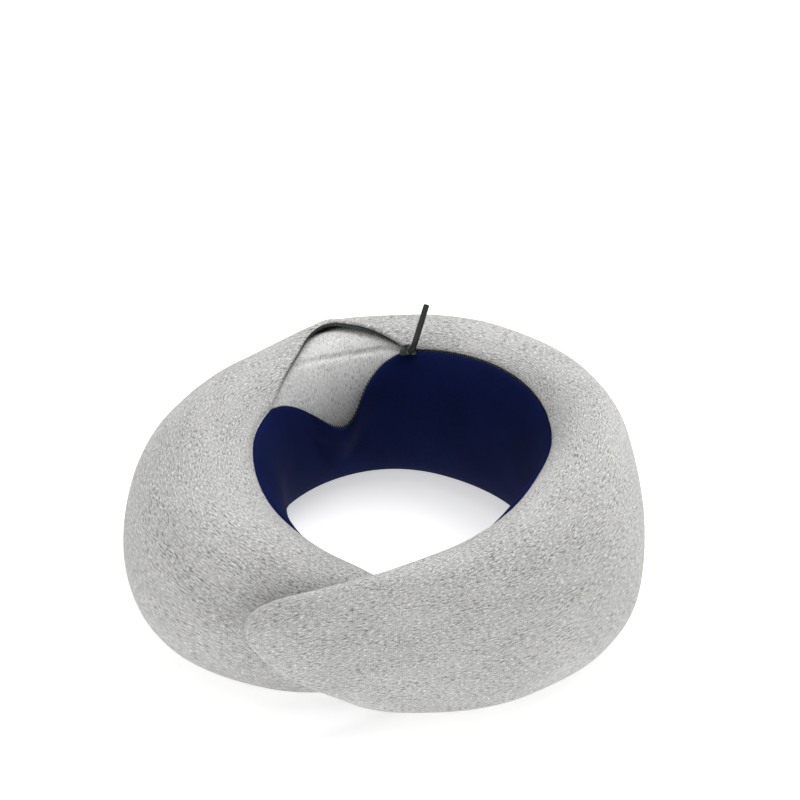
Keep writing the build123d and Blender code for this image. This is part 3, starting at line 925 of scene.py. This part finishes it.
@dataclass
class Pillow:
    """Everything soft: cover, neck panel, liner, foam and fastening patches.

    Lengths are in metres and angles in degrees, apart from the liner seam's curve, which
    is in millimetres outward from the zip. An edge turn is a row of (depth, distance back
    from the edge) in millimetres. A swell is a row of length, rise and shift of the seed.
    """

    shape: RingShape
    cloth: Cloth
    mouth: Mouth
    column_step: float = 0.9
    edge_zone: float = 0.012
    cover_turn: tuple = ((1.0, -0.1), (1.35, 0.35), (1.5, 1.2), (1.5, 4.0))
    neck_turn: tuple = ((1.4, 4.0), (1.4, 1.2), (1.25, 0.35), (0.9, -0.1))
    zip_start: float = 8.0
    zip_end: float = 144.0
    liner_depth: float = 0.0031
    foam_depth: float = 0.0054
    patch_half: float = 0.012
    patch_rise: float = 0.0009
    swells: tuple = ((0.055, 0.0010, 0), (0.021, 0.00035, 4))
    hem_end: float = 0.0026
    hem_rise: float = 0.0007
    stitch_place: float = 0.0042
    stitch_depth: float = 0.0004
    seam_depth: float = 0.0009
    under_rows: int = 14
    cover_count: int = 84
    neck_count: int = 52
    close_rows: int = 12
    flex_angle: float = -15.0
    flex_reach: float = 0.042
    liner_seam: Curve = Curve(((87, 0.5), (94, 1.5), (105, 3.0), (115, 5.5), (124, 9.5), (144, 14)))
    cross_seam: float = 105.0

    def gap(self, angle: float) -> float:
        """Half of the gap between cover and neck panel: a slit along the zip, or a seam."""
        inside = min(angle - self.zip_start, self.zip_end - angle) / 3.0 + 0.5
        return (0.1 + 0.50 * smooth(inside)) * MM

    def ground(self, height: float, full: float = 0.018) -> float:
        """0 on the base and 1 from a full height up, so that bumps leave the base flat."""
        return smooth(height / full)

    def soft(self, section: Section, arc: float, amount: float, seed: float) -> float:
        """Slow swells of stuffed fabric, in metres.

        Args:
            section: The ring's section.
            arc: Length along the curve from its top.
            amount: Share of the full swell.
            seed: Shifts the pattern.

        Returns:
            The lift.
        """
        radius, height = section.point(section.turn_of(arc))
        point = self.shape.place(section.angle, radius, height)
        swell = sum(bumps(point, size, seed + shift) * rise for size, rise, shift in self.swells)
        return swell * amount * self.ground(height)

    def pucker(self, section: Section, away: float, seed: float) -> float:
        """Small gathers that a sewn edge pulls into the fabric, in metres.

        Args:
            section: The ring's section.
            away: Distance from the fabric's edge.
            seed: Shifts the pattern.

        Returns:
            The lift.
        """
        along = math.radians(section.angle) * section.middle_r
        wave = noise.noise(Vector((along / 0.0075, away / 0.03, seed)))
        broad = noise.noise(Vector((along / 0.021, away / 0.06, seed + 9)))
        return (0.00030 * wave + 0.00045 * broad) * math.exp(-away / 0.009)

    def cover_rows(self, section: Section) -> list[Row]:
        """Outer cover: from the neck side's bottom corner, under, round and to the zip.

        Args:
            section: The ring's section.

        Returns:
            The points of one column.
        """
        low = section.low_turn()
        start = section.arc_of(low)
        zip_arc = section.seam_arc() - self.mouth.raise_.at(section.angle) * MM
        reveal = self.mouth.reveal.at(section.angle) * MM
        edge = zip_arc - self.gap(section.angle) - reveal
        outside, inside = section.point(low), section.point(180 - low)
        rows = []
        for k in range(self.under_rows):
            share = k / self.under_rows
            radius = inside[0] + (outside[0] - inside[0]) * share
            across = start - (outside[0] - inside[0]) * (1 - share)
            rows.append((radius, section.floor, across))
        body, count, close = edge - self.edge_zone - start, self.cover_count, self.close_rows
        places = [start + body * k / count for k in range(count)]
        places += [edge - self.edge_zone * (1 - k / close) ** 1.5 for k in range(close)]
        for arc in places:
            away = max(edge - arc, 0.0)
            _, height = section.point(section.turn_of(arc))
            lift = self.soft(section, arc, smooth(away / 0.02) * 0.8 + 0.2, 1.0)
            lift += self.pucker(section, away, 3.0) * self.ground(height)
            lift += self.mouth.flap_lift(section.angle, zip_arc - arc)
            lift -= 0.0006 * (1 - smooth(away / 0.0022)) + self.seam(section, away)
            lift += self.hem(section, away)
            rows.append((*section.raised(arc, lift), arc))
        edge_lift = self.mouth.flap_lift(section.angle, zip_arc - edge)
        for inward, back in self.cover_turn:
            arc = edge - back * MM
            rows.append((*section.raised(arc, edge_lift - inward * MM), arc))
        return rows

    def hem(self, section: Section, away: float) -> float:
        """Turned hem of the open flap: a raised band with a stitched valley beside it.

        Args:
            section: The ring's section.
            away: Distance from the fabric's edge.

        Returns:
            The lift in metres.
        """
        opened = smooth(self.mouth.raise_.at(section.angle) / 8)
        band = smooth(away / 0.0009) * (1 - smooth((away - self.hem_end) / 0.0010))
        stitch = math.exp(-(((away - self.stitch_place) / 0.0008) ** 2))
        return (self.hem_rise * band - self.stitch_depth * stitch) * opened

    def seam(self, section: Section, away: float) -> float:
        """Depth of a plain seam's valley, which is 0 along the zip, in metres.

        Args:
            section: The ring's section.
            away: Distance from the fabric's edge.

        Returns:
            The depth.
        """
        inside = min(section.angle - self.zip_start, self.zip_end - section.angle)
        plain = 1 - smooth(inside / 3 + 1)
        return self.seam_depth * plain * (1 - smooth(away / 0.0045))

    def neck_rows(self, section: Section) -> list[Row]:
        """Neck panel: from the zip down to the base on the neck side.

        Args:
            section: The ring's section.

        Returns:
            The points of one column.
        """
        zip_arc = section.seam_arc() + self.mouth.drop.at(section.angle) * MM
        edge = zip_arc + self.gap(section.angle)
        end = section.arc_of(180 - section.low_turn())
        edge_lift = self.mouth.gape_lift(section.angle, 0.0)
        rows = []
        for inward, back in self.neck_turn:
            arc = edge + back * MM
            rows.append((*section.raised(arc, edge_lift - inward * MM), arc))
        body, count, close = end - edge - self.edge_zone, self.neck_count, self.close_rows
        places = [edge + self.edge_zone * (k / close) ** 1.5 for k in range(close)]
        places += [edge + self.edge_zone + body * k / count for k in range(count + 1)]
        for arc in places:
            away = max(arc - edge, 0.0)
            _, height = section.point(section.turn_of(arc))
            ground = self.ground(height, 0.012)
            lift = self.soft(section, arc, smooth(away / 0.02) * 0.7 + 0.15, 6.0)
            lift += self.pucker(section, away, 8.0) * 0.8 * ground
            lift += self.mouth.gape_lift(section.angle, away) + self.dent(section, arc) * ground
            lift = max(lift, -0.0004 - 0.0015 * smooth((away - 0.011) / 0.006))
            lift -= 0.0005 * (1 - smooth(away / 0.002)) + self.seam(section, away)
            rows.append((*section.raised(arc, lift), arc))
        return rows

    def dent(self, section: Section, arc: float) -> float:
        """Valley that the slack panel folds into below the open mouth, in metres.

        Args:
            section: The ring's section.
            arc: Length along the curve from its top.

        Returns:
            The lift.
        """
        below = arc - section.seam_arc()
        share = (136 - section.angle) / 20
        line = 0.006 + 0.050 * share
        wide = 0.009 + 0.006 * max(share, 0.0)
        fade = smooth(share * 2.5 + 0.25) * (1 - smooth((share - 0.65) / 0.6))
        valley = -0.0036 * fade * math.exp(-(((below - line) / wide) ** 2))
        ridge = 0.0046 * fade * math.exp(-(((below - line + 0.018) / 0.012) ** 2))
        return valley + ridge

    def liner_rows(self, section: Section) -> list[Row]:
        """Liner: a closed tube a little inside the cover, with a seam near its top.

        Args:
            section: The ring's section.

        Returns:
            The points of one column.
        """
        seam = section.seam_arc() - self.liner_seam.at(section.angle) * MM
        across = abs(section.angle - self.cross_seam) * math.radians(1) * section.middle_r

        def lift(arc: float) -> float:
            """Depth of the liner at one place, as a lift below 0.

            Args:
                arc: Length along the curve from its top.

            Returns:
                The lift in metres.
            """
            away = abs(arc - seam)
            swell = self.soft(section, arc, 0.7, 12.0)
            gathers = self.pucker(section, away, 15.0) * 0.9
            valley = 0.0016 * math.exp(-((away / 0.0012) ** 2))
            if arc > seam:
                valley += 0.0009 * math.exp(-((across / 0.0012) ** 2))
            under = self.mouth.flap.at(section.angle) * MM * 0.45
            under *= smooth(1 - abs(arc - section.seam_arc() + 0.012) / 0.045)
            return -self.liner_depth + swell + gathers - valley + under

        return self.tube(section, self.liner_depth, lift, 150)

    def tube(
        self, section: Section, depth: float, lift: Callable[[float], float], count: int
    ) -> list[Row]:
        """Closed row of points round a section, over its flat underside and back.

        Args:
            section: The ring's section.
            depth: How far the underside lies above the cover's.
            lift: Gives the lift at a length along the curve; below 0 is inward.
            count: How many points the round part has.

        Returns:
            The row's points.
        """
        low = section.low_turn()
        first, last = section.arc_of(low), section.arc_of(180 - low)
        rows = []
        for k in range(count):
            arc = first + (last - first) * k / (count - 1)
            radius, height = section.raised(arc, max(lift(arc), -section.half * 0.8))
            rows.append((radius, max(height, section.floor + depth), arc))
        (r_in, z_in, v_in), (r_out, z_out, _) = rows[-1], rows[0]
        for k in range(1, 13):
            share = k / 12
            radius, height = r_in + (r_out - r_in) * share, z_in + (z_out - z_in) * share
            rows.append((radius, height, v_in + abs(r_in - r_out) * share))
        return rows

    def foam_rows(self, section: Section) -> list[Row]:
        """Foam core: a closed tube inside the liner."""
        return self.tube(section, self.foam_depth, lambda arc: -self.foam_depth, 44)

    def patch_rows(self, middle: float, low: float, high: float) -> Rows:
        """Rows of a fastening patch that stands on the fabric.

        Args:
            middle: Section angle of its middle line.
            low: Plan angle where it starts.
            high: Plan angle where it ends.

        Returns:
            A function that gives the rows across the patch.
        """

        def rows(section: Section) -> list[Row]:
            """Rows across the patch at one column.

            Args:
                section: The ring's section.

            Returns:
                The points of one column.
            """
            centre, half = section.arc_of(middle), self.patch_half
            ends = min(section.angle - low, high - section.angle) * math.radians(1) * section.outer
            made = []
            for k in range(25):
                across = -half + 2 * half * k / 24
                border = max(min(half - abs(across), ends), 0.0)
                lift = 0.0002 + self.patch_rise * rounding(border / self.patch_rise)
                made.append((*section.raised(centre + across, lift), across))
            return made

        return rows

    def build(self, finishes: dict[str, Finish]) -> None:
        """Builds and dresses every soft piece.

        Args:
            finishes: Materials by name.
        """
        width = self.column_step
        plans = (
            ("outer_cover", self.cover_rows, "jersey", 0.0, width, "cover_shell", "outer_jersey"),
            ("neck_lining", self.neck_rows, "navy", 0.0, width, "neck_panel", "neck_jersey"),
            ("foam_liner", self.liner_rows, "liner", 4.6, 0.8, "liner_outer liner_inner", "liner_jersey"),
            ("foam", self.foam_rows, "foam", 6.5, 2.0, "foam_core", "foam"),
        )
        for name, rows, finish, start, step, nodes, slot in plans:
            for side in Side:
                angles = self.cloth.angles(side, step, start)
                piece = self.cloth.lay(
                    f"{name}_{side.value}", angles, rows, finishes[finish], caps=start > 0
                )
                ends = "_arm" if side is Side.ARM else ""
                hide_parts(*[node + ends for node in nodes.split()])
                if side is Side.ARM:
                    self.bend(piece)
                else:
                    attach(piece, Body.PILLOW.value)
                log.info("%s: %d faces", piece.name, len(piece.data.polygons))
        self.build_patches(finishes)

    def build_patches(self, finishes: dict[str, Finish]) -> None:
        """Builds the two patches between the overlapped arms.

        Args:
            finishes: Materials by name.
        """
        plans = (
            ("hook_pad", 180.0, (-119.0, -101.0), "hook", "hook_patch", Body.ARM),
            ("loop_pad", 22.0, (242.0, 260.0), "loop", "loop_patch", Body.PILLOW),
        )
        for name, middle, (low, high), finish, node, body in plans:
            angles = [low + (high - low) * k / 30 for k in range(31)]
            rows = self.patch_rows(middle, low, high)
            piece = self.cloth.lay(name, angles, rows, finishes[finish])
            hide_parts(node)
            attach(piece, body.value)
            log.info("%s: %d faces", piece.name, len(piece.data.polygons))

    def bend(self, piece: Piece) -> None:
        """Bakes the place of the arm's length of a fabric into its mesh; it is not bent at the flex line.

        Args:
            piece: The fabric, already in its place.
        """
        middle = self.shape.place(self.flex_angle, 0.10, 0.05)
        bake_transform(piece)


@dataclass
class Zip:
    """Zip tapes and coils, and the finishes of the slider, pull and stops.

    The tape's places are millimetres from the zip's middle line, out over its face and
    back under it, and it runs tape_past beyond the zip's ends. A coil's bar reaches from
    one distance to the other from the middle line, in metres.
    """

    shape: RingShape
    cloth: Cloth
    mouth: Mouth
    soft: Pillow
    depth: float = 0.0016
    pitch: float = 0.0011
    wire: float = 0.00036
    bar: tuple[float, float] = (0.0001, 0.0014)
    bar_depth: float = 0.0003
    tape_past: float = 3.4
    tape_under: float = 0.5
    tape_places: tuple[float, ...] = (1.2, 2.5, 4, 6, 8.5, 11.4)
    tape_back: tuple[float, ...] = (11.4, 8, 4, 1.2)

    def upper(self, section: Section, away: float) -> tuple[float, float]:
        """Place on the upper half, a distance outward from its middle line.

        Args:
            section: The ring's section.
            away: The distance in metres.

        Returns:
            Length along the curve, and lift.
        """
        arc = section.seam_arc() - self.mouth.raise_.at(section.angle) * MM - away
        return arc, self.mouth.flap_lift(section.angle, away) - self.depth

    def lower(self, section: Section, away: float) -> tuple[float, float]:
        """Place on the lower half, a distance towards the neck from its middle line.

        Args:
            section: The ring's section.
            away: The distance in metres.

        Returns:
            Length along the curve, and lift.
        """
        arc = section.seam_arc() + self.mouth.drop.at(section.angle) * MM + away
        slack = self.mouth.gape_lift(section.angle, away)
        slack -= 0.6 * self.mouth.gape_lift(section.angle, 0.02)
        return arc, slack - self.depth

    def tape_rows(self, way: Way, turn: int) -> Rows:
        """Rows of one tape, from its coil edge to its outer edge and back under.

        Args:
            way: Gives the place on this half of the zip.
            turn: 1, or -1 to run backwards, so that the tape faces outwards.

        Returns:
            A function that gives the rows across the tape.
        """
        face = [(away, 0.0) for away in self.tape_places]
        back = [(away, self.tape_under) for away in self.tape_back]
        places = [*face, *back, face[0]]

        def rows(section: Section) -> list[Row]:
            """Rows across the tape at one column.

            Args:
                section: The ring's section.

            Returns:
                The points of one column.
            """
            made = []
            for away, under in places:
                arc, lift = way(section, away * MM)
                made.append((*section.raised(arc, lift - under * MM), away * MM))
            return made[::turn]

        return rows

    def coil(self, name: str, way: Way, start: float, end: float, material: Finish) -> Piece:
        """Row of coil turns: short rounded bars across the tape's edge.

        Args:
            name: Name of the piece.
            way: Gives the place on this half of the zip.
            start: First plan angle.
            end: Last plan angle.
            material: Finish of the coil.

        Returns:
            The new object.
        """
        bm = bmesh.new()
        step = math.degrees(self.pitch / (self.shape.SEAM_RADIUS * MM))
        count = int((end - start) / step)
        for k in range(count + 1):
            angle = start + step * k
            section = self.shape.section(angle)
            ends = []
            for away in self.bar:
                arc, lift = way(section, away)
                ends.append(self.shape.place(angle, *section.raised(arc, lift - self.bar_depth)))
            across = ends[1] - ends[0]
            turn = across.to_track_quat("Z", "Y").to_matrix().to_4x4()
            place = Matrix.Translation((ends[0] + ends[1]) / 2) @ turn
            size = {"radius1": self.wire, "radius2": self.wire, "depth": across.length}
            made = bmesh.ops.create_cone(bm, cap_ends=True, segments=8, **size)
            bmesh.ops.transform(bm, matrix=place, verts=made["verts"])
        for face in bm.faces:
            face.smooth = len(face.verts) == 4
        return finished(name, bm, material)

    def build(self, finishes: dict[str, Finish]) -> None:
        """Builds the tapes and coils and dresses the hard parts.

        Args:
            finishes: Materials by name.
        """
        margin = math.degrees(self.tape_past / self.shape.SEAM_RADIUS)
        low, high = self.soft.zip_start - margin, self.soft.zip_end + margin
        angles = [low + (high - low) * k / 280 for k in range(281)]
        for name, way, turn in (("upper", self.upper, -1), ("lower", self.lower, 1)):
            rows = self.tape_rows(way, turn)
            tape = self.cloth.lay(f"tape_{name}", angles, rows, finishes["tape"])
            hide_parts(f"zip_tape_{name}")
            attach(tape, Body.PILLOW.value)
            start = self.soft.zip_start + (0.5 if name == "lower" else 0.0)
            end = self.soft.zip_end - 0.5
            coil = self.coil(f"coil_{name}", way, start, end, finishes["coil"])
            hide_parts(f"zip_coil_{name}")
            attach(coil, Body.PILLOW.value)
            log.info("%s and %s built", tape.name, coil.name)
        for node, finish in (
            ("zip_top_stops", "metal"),
            ("zip_bottom_stop", "metal"),
            ("zip_slider", "metal"),
            ("zip_pull", "metal"),
            ("pull_tab", "rubber"),
        ):
            dress(node, finishes[finish])


def dress(node: str, material: Finish) -> None:
    """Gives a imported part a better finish.

    Args:
        node: The part's name.
        material: Its finish.
    """
    piece = frame["nodes"][node]
    if piece.material_slots:
        for slot in piece.material_slots:
            slot.material = material
    else:
        piece.data.materials.append(material)


@dataclass
class Studio:
    """Pale floor, soft light and the camera.

    A lamp is a row of name, place, width in metres and power in watts.
    """

    shape: RingShape
    floor_size: float = 6.0
    floor_drop: float = 0.0004
    floor_glow: float = 0.52
    sky: float = 0.46
    lamps: tuple = (
        ("key", (0.75, 0.45, 1.6), 1.2, 14.0),
        ("fill", (-0.9, -1.2, 1.5), 1.5, 3.0),
        ("top", (-0.05, 0.25, 1.9), 1.5, 11.0),
    )
    lens: float = 117.0
    stand: tuple[float, float, float] = (0.0, -0.9997, 0.9858)
    look_down: float = 40.6

    def build(self) -> None:
        """Sets up the floor, the lights, the world and the camera."""
        n = Nodes("floor_paper")
        grain = n.noise("Object", (6, 6, 6), 2.0, 0.5)
        colour = n.mix(grain, (0.90, 0.90, 0.90), (0.92, 0.92, 0.92))
        bm = bmesh.new()
        bmesh.ops.create_grid(bm, x_segments=1, y_segments=1, size=self.floor_size)
        bmesh.ops.translate(bm, verts=bm.verts[:], vec=(0, 0, -self.floor_drop))
        glow = {"Emission_Color": (1, 1, 1, 1), "Emission_Strength": self.floor_glow}
        finished("floor", bm, n.finish(colour, Roughness=0.9, **glow))
        world = bpy.data.worlds.new("studio")
        world.use_nodes = True
        background = world.node_tree.nodes["Background"]
        background.inputs["Color"].default_value = (1.0, 1.0, 1.0, 1.0)
        background.inputs["Strength"].default_value = self.sky
        bpy.context.scene.world = world
        for name, place, size, power in self.lamps:
            self.lamp(name, Vector(place), size, power)
        camera = bpy.data.cameras.new("camera")
        camera.lens, camera.sensor_width = self.lens, 36.0
        camera.clip_start, camera.clip_end = 0.05, 30.0
        stand = bpy.data.objects.new("camera", camera)
        stand.location = self.shape.centre + Vector(self.stand)
        stand.rotation_euler = (math.radians(90 - self.look_down), 0.0, 0.0)
        bpy.context.scene.collection.objects.link(stand)
        bpy.context.scene.camera = stand
        bpy.context.scene.view_settings.view_transform = "Standard"

    def lamp(self, name: str, place: Vector, size: float, power: float) -> None:
        """Adds one soft area light that faces the pillow.

        Args:
            name: Name of the lamp.
            place: Where it stands, in metres.
            size: Its width in metres.
            power: Its power in watts.
        """
        light = bpy.data.lights.new(name, "AREA")
        light.shape, light.size, light.energy = "DISK", size, power
        lamp = bpy.data.objects.new(name, light)
        lamp.location = place
        aim = self.shape.centre + Vector((0, 0, 0.05)) - place
        lamp.rotation_euler = aim.to_track_quat("-Z", "Y").to_euler()
        bpy.context.scene.collection.objects.link(lamp)


def all_finishes() -> dict[str, Finish]:
    """Makes every finish of the pillow.

    Returns:
        The materials by name.
    """
    liner = HeatherJersey(
        "liner_jersey",
        base=(0.74, 0.735, 0.725),
        dark=(0.24, 0.24, 0.24),
        light=(0.95, 0.945, 0.93),
        streak=0.85,
        knit=0.4,
        turned=True,
    )
    coil = Hard("coil_nylon", (0.030, 0.034, 0.032), (0.070, 0.078, 0.072), 0.45)
    nickel = Hard(
        "dark_nickel", (0.045, 0.055, 0.050), (0.16, 0.175, 0.165), 0.36, 1.0, 1500.0, 0.1
    )
    rubber = Hard(
        "pull_rubber", (0.012, 0.015, 0.014), (0.020, 0.023, 0.021), 0.55, 0.0, 1400.0
    )
    return {
        "jersey": HeatherJersey().make(),
        "liner": liner.make(),
        "navy": SmoothKnit().make(),
        "foam": OpenFoam().make(),
        "tape": WovenTape().make(),
        "coil": coil.make(),
        "metal": nickel.make(),
        "rubber": rubber.make(),
        "hook": LoopPile("hook_fabric", (0.02, 0.025, 0.05)).make(),
        "loop": LoopPile("loop_fabric", (0.30, 0.30, 0.295)).make(),
    }


def main() -> None:
    """Builds the pillow, its zip and the studio."""
    logging.basicConfig(level=logging.INFO)
    mounts = {m["name"]: m["pos_m"] for m in frame["record"]["mounts"]}
    shape = RingShape(Vector((mounts["neck"][0], mounts["neck"][1], 0.0)))
    cloth, mouth, made = Cloth(shape), Mouth(), all_finishes()
    pillow = Pillow(shape, cloth, mouth)
    pillow.build(made)
    Zip(shape, cloth, mouth, pillow).build(made)
    Studio(shape).build()


if __name__ == "__main__":
    main()
